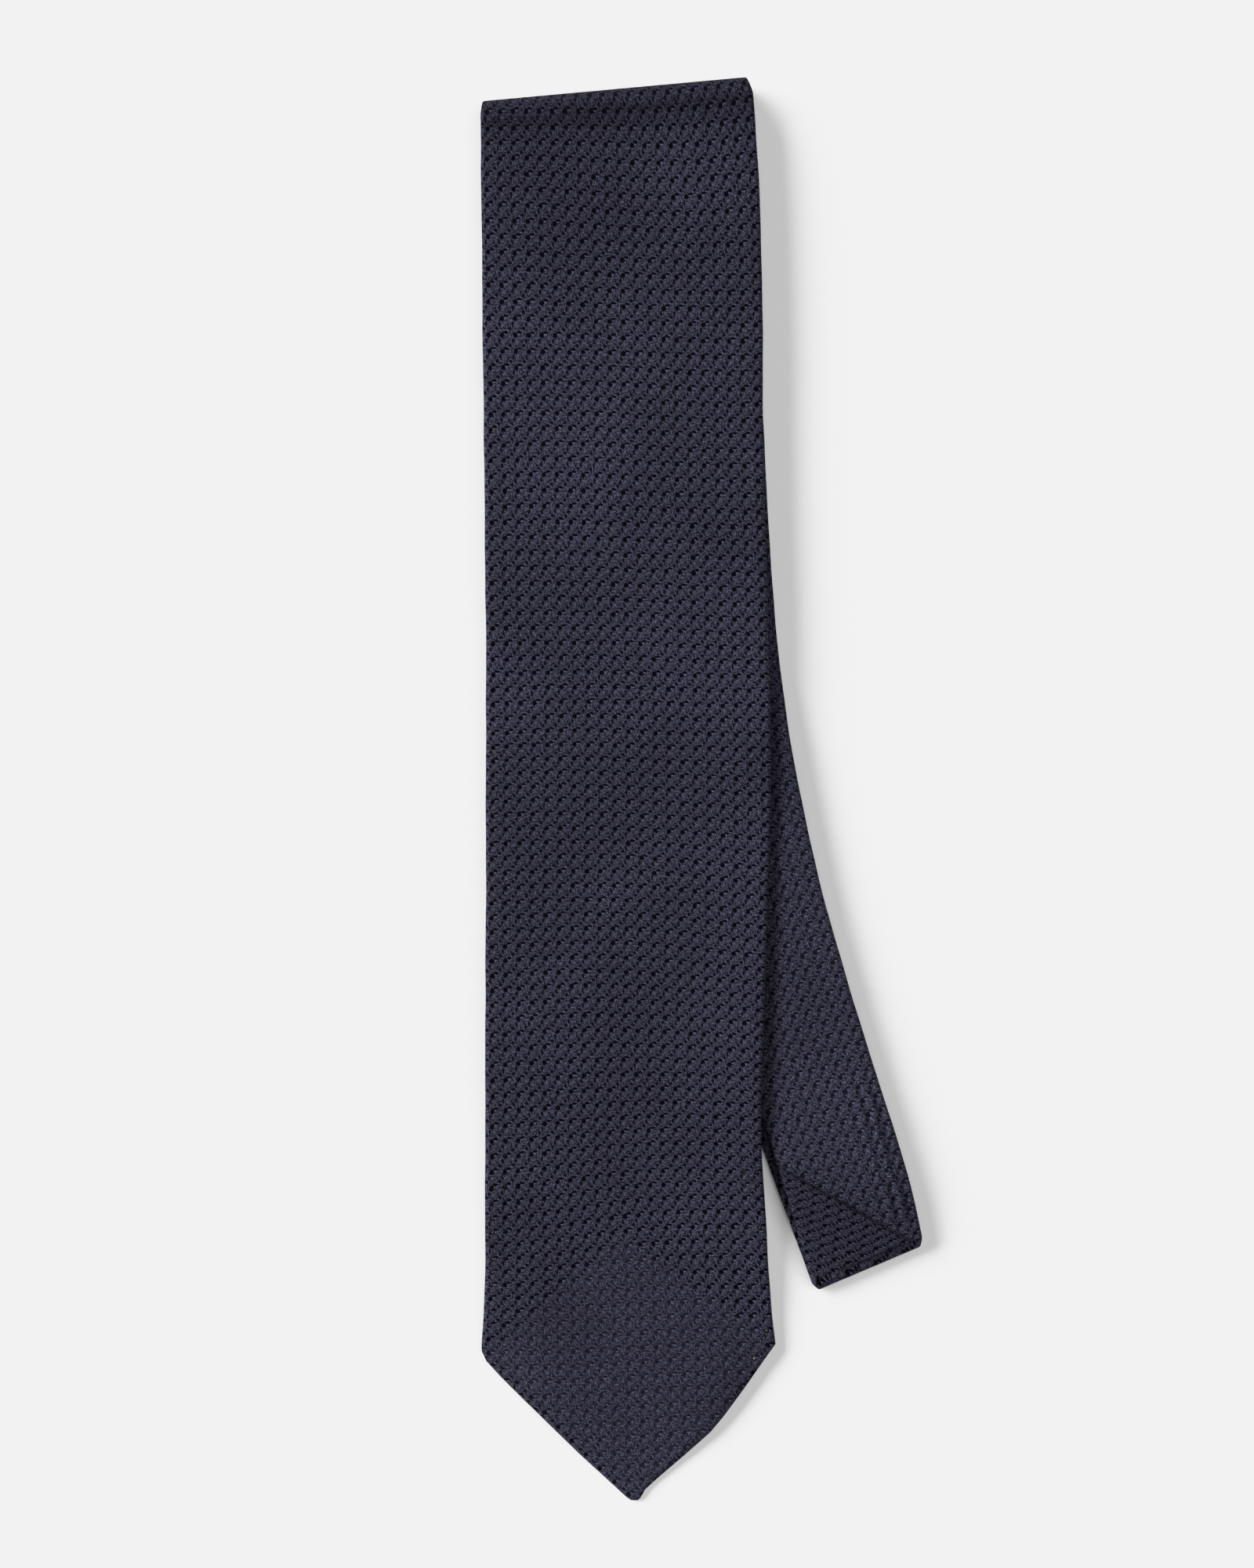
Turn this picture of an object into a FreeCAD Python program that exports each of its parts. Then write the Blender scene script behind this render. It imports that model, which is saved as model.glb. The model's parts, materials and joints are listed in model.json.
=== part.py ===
"""Necktie, folded in four and lying flat. Millimetres, +Z up, +Y from the blade tip to the top fold.

The cloth runs as one long flat sleeve: front blade, top fold, upper blade, neck fold,
neck and tail, tail fold, tail. From the floor up the runs lie in the order upper blade,
neck strip, tail, front blade. Every run is a thin-walled sleeve around an interlining.
"""
import math
import os

import FreeCAD
import Part

os.makedirs("parts", exist_ok=True)

# The flattened sleeve, in depth from its face
LAYER = 2.5
WALL = 0.45
HEM = 0.4
LINING_THICK = 1.1
LINING_GAP = 0.05
LINING_INSET = 0.6
TIPPING_FROM = 1.63
TIPPING_TO = 1.98
SLIT = 0.5
THREAD = 0.3

# Heights of the four runs' undersides
UPPER_Z = 0.0
NECK_Z = 2.8
TAIL_Z = 5.7
FRONT_Z = 9.5

# Folds: centre of the axis, its angle from +X in degrees, width of cloth, outer radius
TOP_FOLD = dict(x=-24.9, y=195.4, z=6.0, angle=5.2, width=78.6, radius=6.0, face_outside=True)
NECK_FOLD = dict(x=46.96, y=-135.4, z=2.65, angle=23.0, width=34.4, radius=2.65, face_outside=True)
TAIL_FOLD = dict(x=-10.6, y=192.3, z=5.5, angle=1.2, width=45.0, radius=2.7, face_outside=False)

# Stations of each run's middle line: x, y, width of cloth
FRONT_STATIONS = [
    (-24.1, 174.8, 79.7),
    (-22.9, 91.6, 80.3),
    (-22.1, 46.6, 81.0),
    (-21.6, 1.6, 81.9),
    (-22.1, -32.2, 81.0),
    (-22.7, -65.9, 80.0),
    (-23.1, -92.9, 79.4),
    (-22.9, -112.3, 79.8),
    (-22.4, -127.4, 80.9),
    (-22.0, -142.4, 81.9),
    (-21.8, -152.6, 83.3),
    (-21.6, -159.5, 84.7),
]
UPPER_STATIONS = [
    (-21.9, 150.0, 75.4),
    (-17.8, 100.0, 68.4),
    (-11.6, 60.0, 60.0),
    (-3.3, 20.0, 51.6),
    (7.7, -20.0, 45.0),
    (21.0, -60.0, 39.8),
    (34.7, -100.0, 35.8),
]
NECK_STATIONS = [
    (40.9, -112.5, 35.0),
    (29.6, -77.7, 35.5),
    (16.5, -34.3, 36.5),
    (6.3, 10.0, 38.0),
    (0.1, 55.1, 39.8),
    (-2.8, 90.3, 41.5),
    (-6.1, 139.0, 43.3),
]
TAIL_STATIONS = [
    (-13.0, 90.0, 45.6),
    (-15.3, -10.0, 46.6),
    (-17.6, -100.0, 47.6),
    (-18.9, -160.0, 48.0),
]
FRONT_TIP = (-19.35, -204.75)
TAIL_TIP = (-19.4, -184.4)
TIP_BLUNT = 1.5
# The front tip's edges: left shoulder, and the point where the right edge turns
FRONT_CORNERS = ((-63.6, -163.4), (3.7, -183.2))

RUNS = {
    "front": dict(
        start=TOP_FOLD, stations=FRONT_STATIONS, tip=FRONT_TIP, corners=FRONT_CORNERS, z=FRONT_Z, face_up=True
    ),
    "upper": dict(start=TOP_FOLD, stations=UPPER_STATIONS, end=NECK_FOLD, z=UPPER_Z, face_up=False),
    "neck": dict(start=NECK_FOLD, stations=NECK_STATIONS, end=TAIL_FOLD, z=NECK_Z, face_up=True),
    "tail": dict(start=TAIL_FOLD, stations=TAIL_STATIONS, tip=TAIL_TIP, z=TAIL_Z, face_up=False),
}

# Bias joins across the neck strip: a point on each and its angle from +X
BLADE_JOIN = dict(x=42.0, y=-117.6, angle=-26.0)
TAIL_JOIN = dict(x=-5.6, y=131.0, angle=-41.0)
JOIN_GAP = 0.4

# Turned-in hem inside the blade tip: its upper corner and how far it stops short of the shoulders
HEM_TOP = (-23.5, -129.0)
HEM_SIDE_INSET = 2.0
# Openings of the back seam at both ends: upper corner, half width, widest point, lower corner
FRONT_OPENING = dict(top=-118.0, half=27.0, wide=-168.0, low=-195.0)
TAIL_OPENING = dict(top=-148.0, half=14.0, wide=-166.5, low=-177.5)
TIPPING_ABOVE = 12.0
TIPPING_INSET = 1.2

# Keeper loop behind the front blade
KEEPER = dict(x=-22.3, y=-18.0, span=58.0, width=11.0, thick=0.4, room=0.55)
# Bar tacks at the top of both openings
TACK_LENGTH = 5.0
TACK_WIDTH = 1.2
TACK_THICK = 0.32
# Spare loop of the slip-stitch thread inside the blade end
SPARE_RADIUS = 2.4
SPARE_THREAD = 0.15


def vec(x, y, z=0.0):
    return FreeCAD.Vector(x, y, z)


def unit(angle):
    a = math.radians(angle)
    return math.cos(a), math.sin(a)


def edge_points(run, inset, half=None):
    """Left and right edge points of a run, from its start to its last station."""
    start = run["start"]
    rows = [(start["x"], start["y"], start["width"])] + list(run["stations"])
    if "end" in run:
        end = run["end"]
        rows.append((end["x"], end["y"], end["width"]))
    last = len(rows) - 1
    left, right = [], []
    for n, (x, y, width) in enumerate(rows):
        if n == 0:
            ux, uy = unit(start["angle"])
        elif n == last and "end" in run:
            ux, uy = unit(run["end"]["angle"])
        else:
            a, b = rows[n - 1], rows[min(n + 1, last)]
            dx, dy = b[0] - a[0], b[1] - a[1]
            length = math.hypot(dx, dy)
            ux, uy = dy / length, -dx / length
            if ux < 0:
                ux, uy = -ux, -uy
        reach = half if half is not None else width / 2 - inset
        left.append((x - ux * reach, y - uy * reach))
        right.append((x + ux * reach, y + uy * reach))
    return left, right


def spline(points, z):
    curve = Part.BSplineCurve()
    curve.interpolate([vec(x, y, z) for x, y in points])
    return curve.toShape()


def line(a, b, z):
    return Part.makeLine(vec(a[0], a[1], z), vec(b[0], b[1], z))


def tip_edges(run, left, right, inset, z):
    """The pointed end, from the left shoulder round to the right shoulder."""
    x, y = run["tip"]
    y = y + inset * math.sqrt(2)
    blunt = max(TIP_BLUNT - inset / 2, 0.5)
    a, b = (x - blunt, y + blunt * 0.8), (x + blunt, y + blunt * 0.8)
    arc = Part.Arc(vec(a[0], a[1], z), vec(x, y, z), vec(b[0], b[1], z)).toShape()
    if "corners" not in run:
        return [line(left[-1], a, z), arc, line(b, right[-1], z)]
    (lx, ly), (rx, ry) = run["corners"]
    shoulder = (lx + inset, ly + inset * 0.4)
    turn = (rx - inset * 0.8, ry + inset * 0.6)
    down = [line(left[-1], shoulder, z), line(shoulder, a, z)]
    return down + [arc, line(b, turn, z), line(turn, right[-1], z)]


def level(run, depth):
    """Height of a surface at a depth below the run's face."""
    return run["z"] + (LAYER - depth if run["face_up"] else depth)


def slab(run, depth_from, depth_to, inset=0.0, half=None):
    """The run's outline, drawn in by inset or of a fixed half width, between two depths."""
    low, high = sorted((level(run, depth_from), level(run, depth_to)))
    left, right = edge_points(run, inset, half)
    if "tip" in run and half is None:
        rise = inset * (math.sqrt(2) - 1)
        left[-1] = (left[-1][0], left[-1][1] + rise)
        right[-1] = (right[-1][0], right[-1][1] + rise)
        end = tip_edges(run, left, right, inset, low)
    else:
        end = [line(left[-1], right[-1], low)]
    edges = [spline(left, low)] + end + [spline(right, low), line(left[0], right[0], low)]
    face = Part.Face(Part.Wire(Part.__sortEdges__(edges)))
    return face.extrude(vec(0, 0, high - low))


def bend(fold, depth_from, depth_to, inset=0.0, half=None):
    """The same layer carried round a fold, half a turn about its axis."""
    reach = half if half is not None else fold["width"] / 2 - inset
    if fold["face_outside"]:
        r1, r2 = fold["radius"] - depth_to, fold["radius"] - depth_from
    else:
        inner = fold["radius"] - LAYER
        r1, r2 = inner + depth_from, inner + depth_to
    ux, uy = unit(fold["angle"])
    centre = vec(fold["x"], fold["y"], fold["z"])
    along = vec(ux, uy)
    corners = []
    for s, r in ((-reach, r1), (reach, r1), (reach, r2), (-reach, r2)):
        corners.append(centre + along * s + vec(0, 0, -r))
    face = Part.Face(Part.makePolygon(corners + corners[:1]))
    turn = 180 if fold is not NECK_FOLD else -180
    return face.revolve(centre, along, turn)


def sleeve(piece, keep=None):
    """Thin-walled sleeve with a slit along the middle of its back. piece makes one layer of it."""
    cavity = piece(WALL, LAYER - WALL, WALL)
    if keep is not None:
        cavity = cavity.cut(keep)
    slit = piece(LAYER - WALL - 0.02, LAYER + 0.02, 0.0, SLIT / 2)
    return piece(0.0, LAYER, 0.0).cut(cavity).cut(slit)


def run_layer(name):
    run = RUNS[name]
    return lambda a, b, inset=0.0, half=None: slab(run, a, b, inset, half)


def fold_layer(fold):
    return lambda a, b, inset=0.0, half=None: bend(fold, a, b, inset, half)


def interlining(piece):
    top = WALL + LINING_GAP
    return piece(top, top + LINING_THICK, LINING_INSET)


def thread(piece):
    """Slip-stitch thread lying in the slit."""
    return piece(LAYER - 0.1 - THREAD, LAYER - 0.1, 0.0, THREAD / 2)


def join(parts):
    """One solid from parts that meet face to face."""
    whole = parts[0]
    for p in parts[1:]:
        whole = whole.fuse(p)
    return whole.removeSplitter()


def prism(points, low, high):
    ring = [vec(x, y, low) for x, y in points]
    return Part.Face(Part.makePolygon(ring + ring[:1])).extrude(vec(0, 0, high - low))


def join_side(cut, side, gap):
    """Everything on one side of a bias join, stopping half the gap short of it."""
    ux, uy = unit(cut["angle"])
    nx, ny = -uy * side, ux * side
    x, y = cut["x"] + nx * gap / 2, cut["y"] + ny * gap / 2
    far = 600.0
    points = [
        (x - ux * far, y - uy * far),
        (x + ux * far, y + uy * far),
        (x + ux * far + nx * far, y + uy * far + ny * far),
        (x - ux * far + nx * far, y - uy * far + ny * far),
    ]
    return prism(points, -1.0, 20.0)


def middle_x(run, y):
    """X of a pointed run's middle line at a height y."""
    rows = run["stations"]
    for (x1, y1, _), (x2, y2, _) in zip(rows, rows[1:]):
        if y1 >= y >= y2:
            return x1 + (x2 - x1) * (y1 - y) / (y1 - y2)
    return rows[-1][0]


def kite(run, opening):
    """Outline of the spread part of the back seam."""
    x = middle_x(run, opening["wide"])
    return [
        (middle_x(run, opening["top"]), opening["top"]),
        (x + opening["half"], opening["wide"]),
        (run["tip"][0], opening["low"]),
        (x - opening["half"], opening["wide"]),
    ]


def spread_back(shell, run, opening):
    """Cuts the back of a sleeve away where its two flaps part."""
    a, b = sorted((level(run, LAYER - WALL - 0.02), level(run, LAYER + 0.02)))
    return shell.cut(prism(kite(run, opening), a, b))


def hem_plate(clearance=0.0):
    """The cloth turned in behind the blade tip, as a plate lying on the inside of the face."""
    run = RUNS["front"]
    left, right = edge_points(run, HEM_SIDE_INSET - clearance)
    top = (HEM_TOP[0], HEM_TOP[1] + clearance * 1.5)
    tip = (FRONT_TIP[0], FRONT_TIP[1] + 0.5)
    side_y = -159.0
    shoulder, turn = FRONT_CORNERS
    left_x, right_x = left[-1][0], right[-1][0]
    points = [(left_x, side_y), (left_x, shoulder[1]), tip, turn, (right_x, side_y), top]
    return prism(points, level(run, WALL + HEM + clearance), level(run, WALL - 0.1))


def tipping(run, opening):
    """Lining sewn behind a pointed end, seen where the back seam is spread."""
    plate = slab(run, TIPPING_FROM, TIPPING_TO, TIPPING_INSET)
    a, b = sorted((level(run, TIPPING_FROM - 0.1), level(run, TIPPING_TO + 0.1)))
    top = opening["top"] + TIPPING_ABOVE
    return plate.common(prism([(-90, -220), (60, -220), (60, top), (-90, top)], a, b))


def above_opening(opening, solid):
    """The part of a thread above the spread part of the seam."""
    top = opening["top"] + 0.3
    return solid.common(prism([(-120, top), (120, top), (120, 260), (-120, 260)], -1.0, 20.0))


def tack(run, opening):
    """Bar of thread across the slit, just above the spread part of the seam."""
    y = opening["top"] + 2.2
    x = middle_x(run, y)
    a, b = sorted((level(run, LAYER), level(run, LAYER + TACK_THICK)))
    w, h = TACK_LENGTH / 2, TACK_WIDTH / 2
    return prism([(x - w, y - h), (x + w, y - h), (x + w, y + h), (x - w, y + h)], a, b)


def front_thread():
    """Thread of the front blade with its spare loop left loose in the open end."""
    run = RUNS["front"]
    solid = above_opening(FRONT_OPENING, thread(run_layer("front")))
    top = FRONT_OPENING["top"] + 0.7
    x = middle_x(run, top)
    z = level(run, LAYER - 0.1 - THREAD / 2)
    y = FRONT_OPENING["top"] - 5.6 - SPARE_RADIUS
    ring = Part.makeTorus(SPARE_RADIUS, SPARE_THREAD, vec(x, y, z), vec(0, 0, 1))
    link = Part.makeCylinder(SPARE_THREAD * 0.8, top - y - SPARE_RADIUS, vec(x, top, z), vec(0, -1, 0))
    return join([solid, ring, link])


def keeper_loop():
    """Flat band behind the front blade, sewn down at both ends."""
    top = FRONT_Z
    low = top - KEEPER["room"] - KEEPER["thick"]
    w, h = KEEPER["span"] / 2, KEEPER["width"] / 2
    x, y = KEEPER["x"], KEEPER["y"]
    inner = w - 2.0
    outer = prism([(x - w, y - h), (x + w, y - h), (x + w, y + h), (x - w, y + h)], low, top)
    room = prism(
        [(x - inner, y - h - 1), (x + inner, y - h - 1), (x + inner, y + h + 1), (x - inner, y + h + 1)],
        low + KEEPER["thick"],
        top + 1.0,
    )
    return outer.cut(room)


def seam_thread(cut):
    """Thread of a bias join, running round the sleeve inside the gap between two shells."""
    layer = run_layer("neck")
    ring = layer(0.1, LAYER - 0.1, 0.1).cut(layer(0.35, LAYER - 0.35, 0.35))
    ring = ring.cut(layer(LAYER - 0.36, LAYER + 0.02, 0.0, SLIT / 2))
    slot = join_side(cut, 1, -THREAD).common(join_side(cut, -1, -THREAD))
    return ring.common(slot)


def build():
    neck = sleeve(run_layer("neck"))
    pieces = {}
    hem = hem_plate()
    front = sleeve(run_layer("front"), keep=hem)
    pieces["blade_shell_front"] = spread_back(front, RUNS["front"], FRONT_OPENING)
    pieces["blade_shell_fold"] = sleeve(fold_layer(TOP_FOLD))
    pieces["blade_shell_back"] = join([
        sleeve(run_layer("upper")),
        sleeve(fold_layer(NECK_FOLD)),
        neck.common(join_side(BLADE_JOIN, -1, JOIN_GAP)),
    ])
    middle = neck.common(join_side(BLADE_JOIN, 1, JOIN_GAP))
    pieces["neck_shell"] = middle.common(join_side(TAIL_JOIN, -1, JOIN_GAP))
    tail = spread_back(sleeve(run_layer("tail")), RUNS["tail"], TAIL_OPENING)
    pieces["tail_shell"] = join([
        neck.common(join_side(TAIL_JOIN, 1, JOIN_GAP)),
        sleeve(fold_layer(TAIL_FOLD)),
        tail,
    ])
    pieces["interlining_front"] = interlining(run_layer("front")).cut(hem_plate(0.06))
    pieces["interlining_fold"] = interlining(fold_layer(TOP_FOLD))
    pieces["interlining_back"] = join([
        interlining(run_layer("upper")),
        interlining(fold_layer(NECK_FOLD)),
        interlining(run_layer("neck")),
        interlining(fold_layer(TAIL_FOLD)),
        interlining(run_layer("tail")),
    ])
    pieces["blade_tipping"] = tipping(RUNS["front"], FRONT_OPENING)
    pieces["tail_tipping"] = tipping(RUNS["tail"], TAIL_OPENING)
    pieces["slip_stitch_front"] = front_thread()
    pieces["slip_stitch_fold"] = thread(fold_layer(TOP_FOLD))
    pieces["slip_stitch_back"] = join([
        thread(run_layer("upper")),
        thread(fold_layer(NECK_FOLD)),
        thread(run_layer("neck")),
        thread(fold_layer(TAIL_FOLD)),
        above_opening(TAIL_OPENING, thread(run_layer("tail"))),
    ])
    pieces["bar_tack_blade"] = tack(RUNS["front"], FRONT_OPENING)
    pieces["bar_tack_tail"] = tack(RUNS["tail"], TAIL_OPENING)
    pieces["join_seam_blade"] = seam_thread(BLADE_JOIN)
    pieces["join_seam_tail"] = seam_thread(TAIL_JOIN)
    pieces["keeper_loop"] = keeper_loop()
    return pieces


for name, shape in build().items():
    print(name, len(shape.Solids), round(shape.Volume, 1), shape.isValid(), shape.BoundBox)
    shape.exportStep(f"parts/{name}.step")
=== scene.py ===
"""Looks of the folded necktie: draped cloth, lining, threads, floor, light and camera."""
import json
import math

import bpy
import numpy as np
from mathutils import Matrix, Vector

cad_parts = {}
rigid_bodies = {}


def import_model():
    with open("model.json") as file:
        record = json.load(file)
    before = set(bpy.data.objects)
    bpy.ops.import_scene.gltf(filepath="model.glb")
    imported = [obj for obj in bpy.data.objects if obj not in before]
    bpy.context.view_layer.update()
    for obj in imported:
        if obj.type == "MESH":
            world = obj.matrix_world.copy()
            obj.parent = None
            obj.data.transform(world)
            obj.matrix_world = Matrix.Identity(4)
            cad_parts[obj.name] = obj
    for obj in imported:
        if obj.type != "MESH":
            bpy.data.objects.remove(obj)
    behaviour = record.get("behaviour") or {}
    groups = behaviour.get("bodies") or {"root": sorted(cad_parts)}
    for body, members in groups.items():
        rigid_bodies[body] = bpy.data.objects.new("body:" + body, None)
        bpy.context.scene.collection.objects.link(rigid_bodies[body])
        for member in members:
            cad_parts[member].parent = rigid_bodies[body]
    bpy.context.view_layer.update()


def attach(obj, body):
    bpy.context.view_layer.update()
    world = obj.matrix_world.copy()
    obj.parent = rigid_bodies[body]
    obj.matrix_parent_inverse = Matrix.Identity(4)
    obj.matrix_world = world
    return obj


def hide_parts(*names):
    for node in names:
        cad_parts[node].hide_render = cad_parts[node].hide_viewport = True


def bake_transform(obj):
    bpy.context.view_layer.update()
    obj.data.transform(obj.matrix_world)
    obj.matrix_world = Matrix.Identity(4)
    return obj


for leftover in list(bpy.data.objects):
    bpy.data.objects.remove(leftover)
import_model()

MM = 0.001

# The flattened tie, in millimetres: thickness of one run, width over which its edges roll,
# width of cloth turned under, thickness of cloth, and how far a fold's corners draw in
LAYER = 2.5
EDGE_ROLL = 1.7
TURN_UNDER = 3.5
CLOTH = 0.35
CORNER = 1.0
# Lengths over which a run turns to the angle of a fold and of its pointed end, and how far its
# edges wander
FOLD_REACH = 26.0
TIP_REACH = 40.0
EDGE_WAVE = 0.14
# Least height above the floor, and gap between a run's cloth and the fold's, which lets the
# blade open flat
FLOOR_GAP = 0.02
FOLD_GAP = 0.06
# Undersides and top sides of the inner layers, counted from the middle of a run
WOOL_LOW = -0.35
WOOL_HIGH = 0.15
LINING_LOW = -0.72
LINING_HIGH = -0.40
# The lining starts this far above the opening, and inner layers this far from the top fold
LINING_ABOVE = 12.0
INNER_GAP = 0.5
# Groove along a bias join: depth and width
SEAM_DIP = 0.6
SEAM_WIDTH = 0.55
# Spacing of the slip stitches, and radii of the threads
STITCH = 3.2
SLIP_THREAD = 0.15
TACK_THREAD = 0.10
JOIN_THREAD = 0.12
SPARE_RADIUS = 2.4

# Weave: width and length of one repeat, its length near the top fold, the repeats across the
# front blade, and the depth of its relief
PITCH_X = 3.9
PITCH_Y = 4.12
PITCH_Y_TOP = 4.75
FRONT_REPEATS = 21
RELIEF = 0.17
# Between the neck fold and the blade's join the weave is turned, in degrees, and crowded
BIAS_TURN = 25.0
CROWDING = 1.5

# Mesh: share of the half width on each side of the slit, and rows of the front's pointed end,
# which starts this far down the front
SLIT_T = 0.007
TIP_ROWS = 96
STRAIGHT_ROWS = 313.0

# Folds: centre of the axis, its angle from +X in degrees, width of cloth, outer radius
TOP_FOLD = dict(x=-24.9, y=195.4, z=6.0, angle=5.2, width=78.6, radius=6.0, face_outside=True, turn=1)
NECK_FOLD = dict(x=46.96, y=-135.4, z=2.65, angle=23.0, width=34.4, radius=2.65, face_outside=True, turn=-1)
TAIL_FOLD = dict(x=-10.6, y=192.3, z=5.5, angle=1.2, width=45.0, radius=2.7, face_outside=False, turn=1)
# Cloth going round the neck fold and the tail fold
NECK_ROUND = 4.4
TAIL_ROUND = 4.6

# Stations of each run's middle line: x, y, width of cloth
FRONT_STATIONS = [
    (-24.1, 174.8, 79.7),
    (-22.9, 91.6, 80.3),
    (-22.1, 46.6, 81.0),
    (-21.6, 1.6, 81.9),
    (-22.1, -32.2, 81.0),
    (-22.7, -65.9, 80.0),
    (-23.1, -92.9, 79.4),
    (-22.9, -112.3, 79.8),
    (-22.4, -127.4, 80.9),
    (-22.0, -142.4, 81.9),
    (-21.8, -152.6, 83.3),
    (-21.6, -159.5, 84.7),
]
UPPER_STATIONS = [
    (-21.9, 150.0, 75.4),
    (-17.8, 100.0, 68.4),
    (-11.6, 60.0, 60.0),
    (-3.3, 20.0, 51.6),
    (7.7, -20.0, 45.0),
    (21.0, -60.0, 39.8),
    (34.7, -100.0, 35.8),
]
NECK_STATIONS = [
    (40.9, -112.5, 35.0),
    (29.6, -77.7, 35.5),
    (16.5, -34.3, 36.5),
    (6.3, 10.0, 38.0),
    (0.1, 55.1, 39.8),
    (-2.8, 90.3, 41.5),
    (-6.1, 139.0, 43.3),
]
TAIL_STATIONS = [
    (-13.0, 90.0, 45.6),
    (-15.3, -10.0, 46.6),
    (-17.6, -100.0, 47.6),
    (-18.9, -160.0, 48.0),
]
# Outline of the pointed ends, from the left shoulder round to the right one
FRONT_TIP = (-19.35, -204.75)
FRONT_EDGE = [
    (-64.3, -161.0),
    (-62.6, -164.7),
    (-58.3, -169.3),
    (-35.3, -191.9),
    (-22.3, -203.9),
    (-20.9, -204.9),
    (-18.9, -204.9),
    (-17.9, -203.9),
    (-17.0, -202.0),
    (-13.7, -198.9),
    (-5.6, -191.9),
    (1.8, -185.3),
    (5.6, -180.8),
    (12.2, -171.8),
    (20.7, -159.8),
]
FRONT_CORNER = (3.7, -183.2)
TAIL_TIP = (-19.4, -184.4)
TAIL_EDGE = [(-42.9, -160.0), (-20.9, -183.2), TAIL_TIP, (-17.9, -183.2), (5.1, -160.0)]
# Bias joins: a point on each line and its angle. JOIN_FROM_FOLD keeps them off the folds.
BLADE_JOIN = dict(x=42.0, y=-120.1, angle=-29.5)
JOIN_FROM_FOLD = 0.4
TAIL_JOIN = dict(x=-5.6, y=131.0, angle=-41.0)
# Top of the doubled hem, its distance from the sides, and the width of its soft border
HEM_TOP = (-23.5, -129.0)
HEM_INSET = 2.0
HEM_BORDER = 3.2
# Openings of the centre back, and the band behind the blade
FRONT_OPENING = dict(top=-118.0, half=27.0, wide=-168.0, low=-195.0)
TAIL_OPENING = dict(top=-148.0, half=14.0, wide=-166.5, low=-177.5)
KEEPER = dict(x=-22.3, y=-18.0, span=58.0, width=11.0, gap=0.25, stands=0.45, half_thick=0.22)

# Puckers of the neck strip: their middle, lean in degrees, width and height
PUCKER = dict(x=57.0, y=-112.0, lean=17.0, width=7.0, height=0.75)

# The lower ends are not held up by the neck strip and sink towards the table, the blade's
# sides droop, and the neck strip springs up beside the blade: how far, and between which
# places each sets in
FRONT_SAG = 6.7
TAIL_SAG = 5.55
SAG_Y = (-80.0, -170.0)
TIP_SAG = 3.3
TIP_SAG_Y = (-165.0, -205.0)
EDGE_DROOP = 1.0
BLADE_X = -22.0
DROOP_X = (22.0, 40.0)
DROOP_Y = (-120.0, -170.0)
UPPER_SPRING = 2.0
NECK_SPRING = 4.3
SPRING_X = (12.0, 26.0)
SPRING_LOW = (-146.0, -106.0)
SPRING_HIGH = (70.0, 10.0)

# Marks of the open weave in one repeat: x, y, radii, depth
MARKS = [
    (0.00, 0.00, 0.175, 0.165, 1.0),
    (0.29, 0.19, 0.190, 0.080, 1.0),
    (0.60, 0.40, 0.130, 0.115, 0.9),
    (0.81, 0.65, 0.088, 0.165, 0.9),
    (0.44, 0.61, 0.070, 0.070, 0.7),
]
# Painted highlights: bright spots on the yarn beside the marks
HIGHLIGHT_PATCHES = [
    (0.21, 0.05, 0.13, 0.055, 1.0),
    (0.46, 0.28, 0.10, 0.06, 0.7),
    (0.73, 0.52, 0.06, 0.08, 0.7),
    (0.12, 0.62, 0.12, 0.10, 0.5),
    (0.62, 0.85, 0.13, 0.09, 0.5),
]

# Screen colours of the yarn in and out of the light, of the holes, which also give the painted shade
# near the top fold and along the bias joins, and of the other materials
YARN_DARK = (24, 24, 38)
YARN_LIGHT = (111, 109, 133)
HOLE_AND_SHADE = (3, 3, 14)
WOOL_DARK = (176, 170, 158)
WOOL_LIGHT = (222, 217, 204)
SATIN_DARK = (30, 30, 44)
SATIN_LIGHT = (52, 51, 68)
THREAD_DARK = (22, 21, 34)
THREAD_LIGHT = (48, 46, 64)
# Share by which the narrower weave of the neck closes its holes
NECK_CLOSED = 0.5
# Painted light: pale spots in a few stretched holes in a band along the blade's edges, where light comes
# through the gauze
PIN_BAND = dict(inset=3.6, spread=1.1, top=(-96.0, -108.0), low=(-168.0, -160.0))
PIN_MARK = (0.02, 0.03, 0.075, 0.075, 1.0)
PIN_LIGHT = (235, 233, 228)
# Linear colour that a surface takes to show its screen colour under this light
LIGHT_TO_COLOUR = 0.50

# Tone of the floor, light that falls on it in watts per square metre, and each source's share
FLOOR_HALF = 3.0
FLOOR_TONE = 0.80
FLOOR_LIGHT = 3.49
WORLD_SHARE = 0.03
SUNS = [
    dict(name="key", azimuth=152.0, elevation=17.0, share=0.85, spread=66.0),
    dict(name="fill", azimuth=-12.0, elevation=66.0, share=0.57, spread=60.0),
]
# Display tone for each scene tone. Together the lights overexpose the floor a little, and the
# tone stops at its white.
TONE_CURVE = [
    (0.0, 0.0),
    (0.3, 0.3),
    (0.6, 0.6),
    (0.75, 0.735),
    (0.92, 0.835),
    (1.12, 0.882),
    (1.3, 0.888),
    (2.0, 0.888),
]
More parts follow.
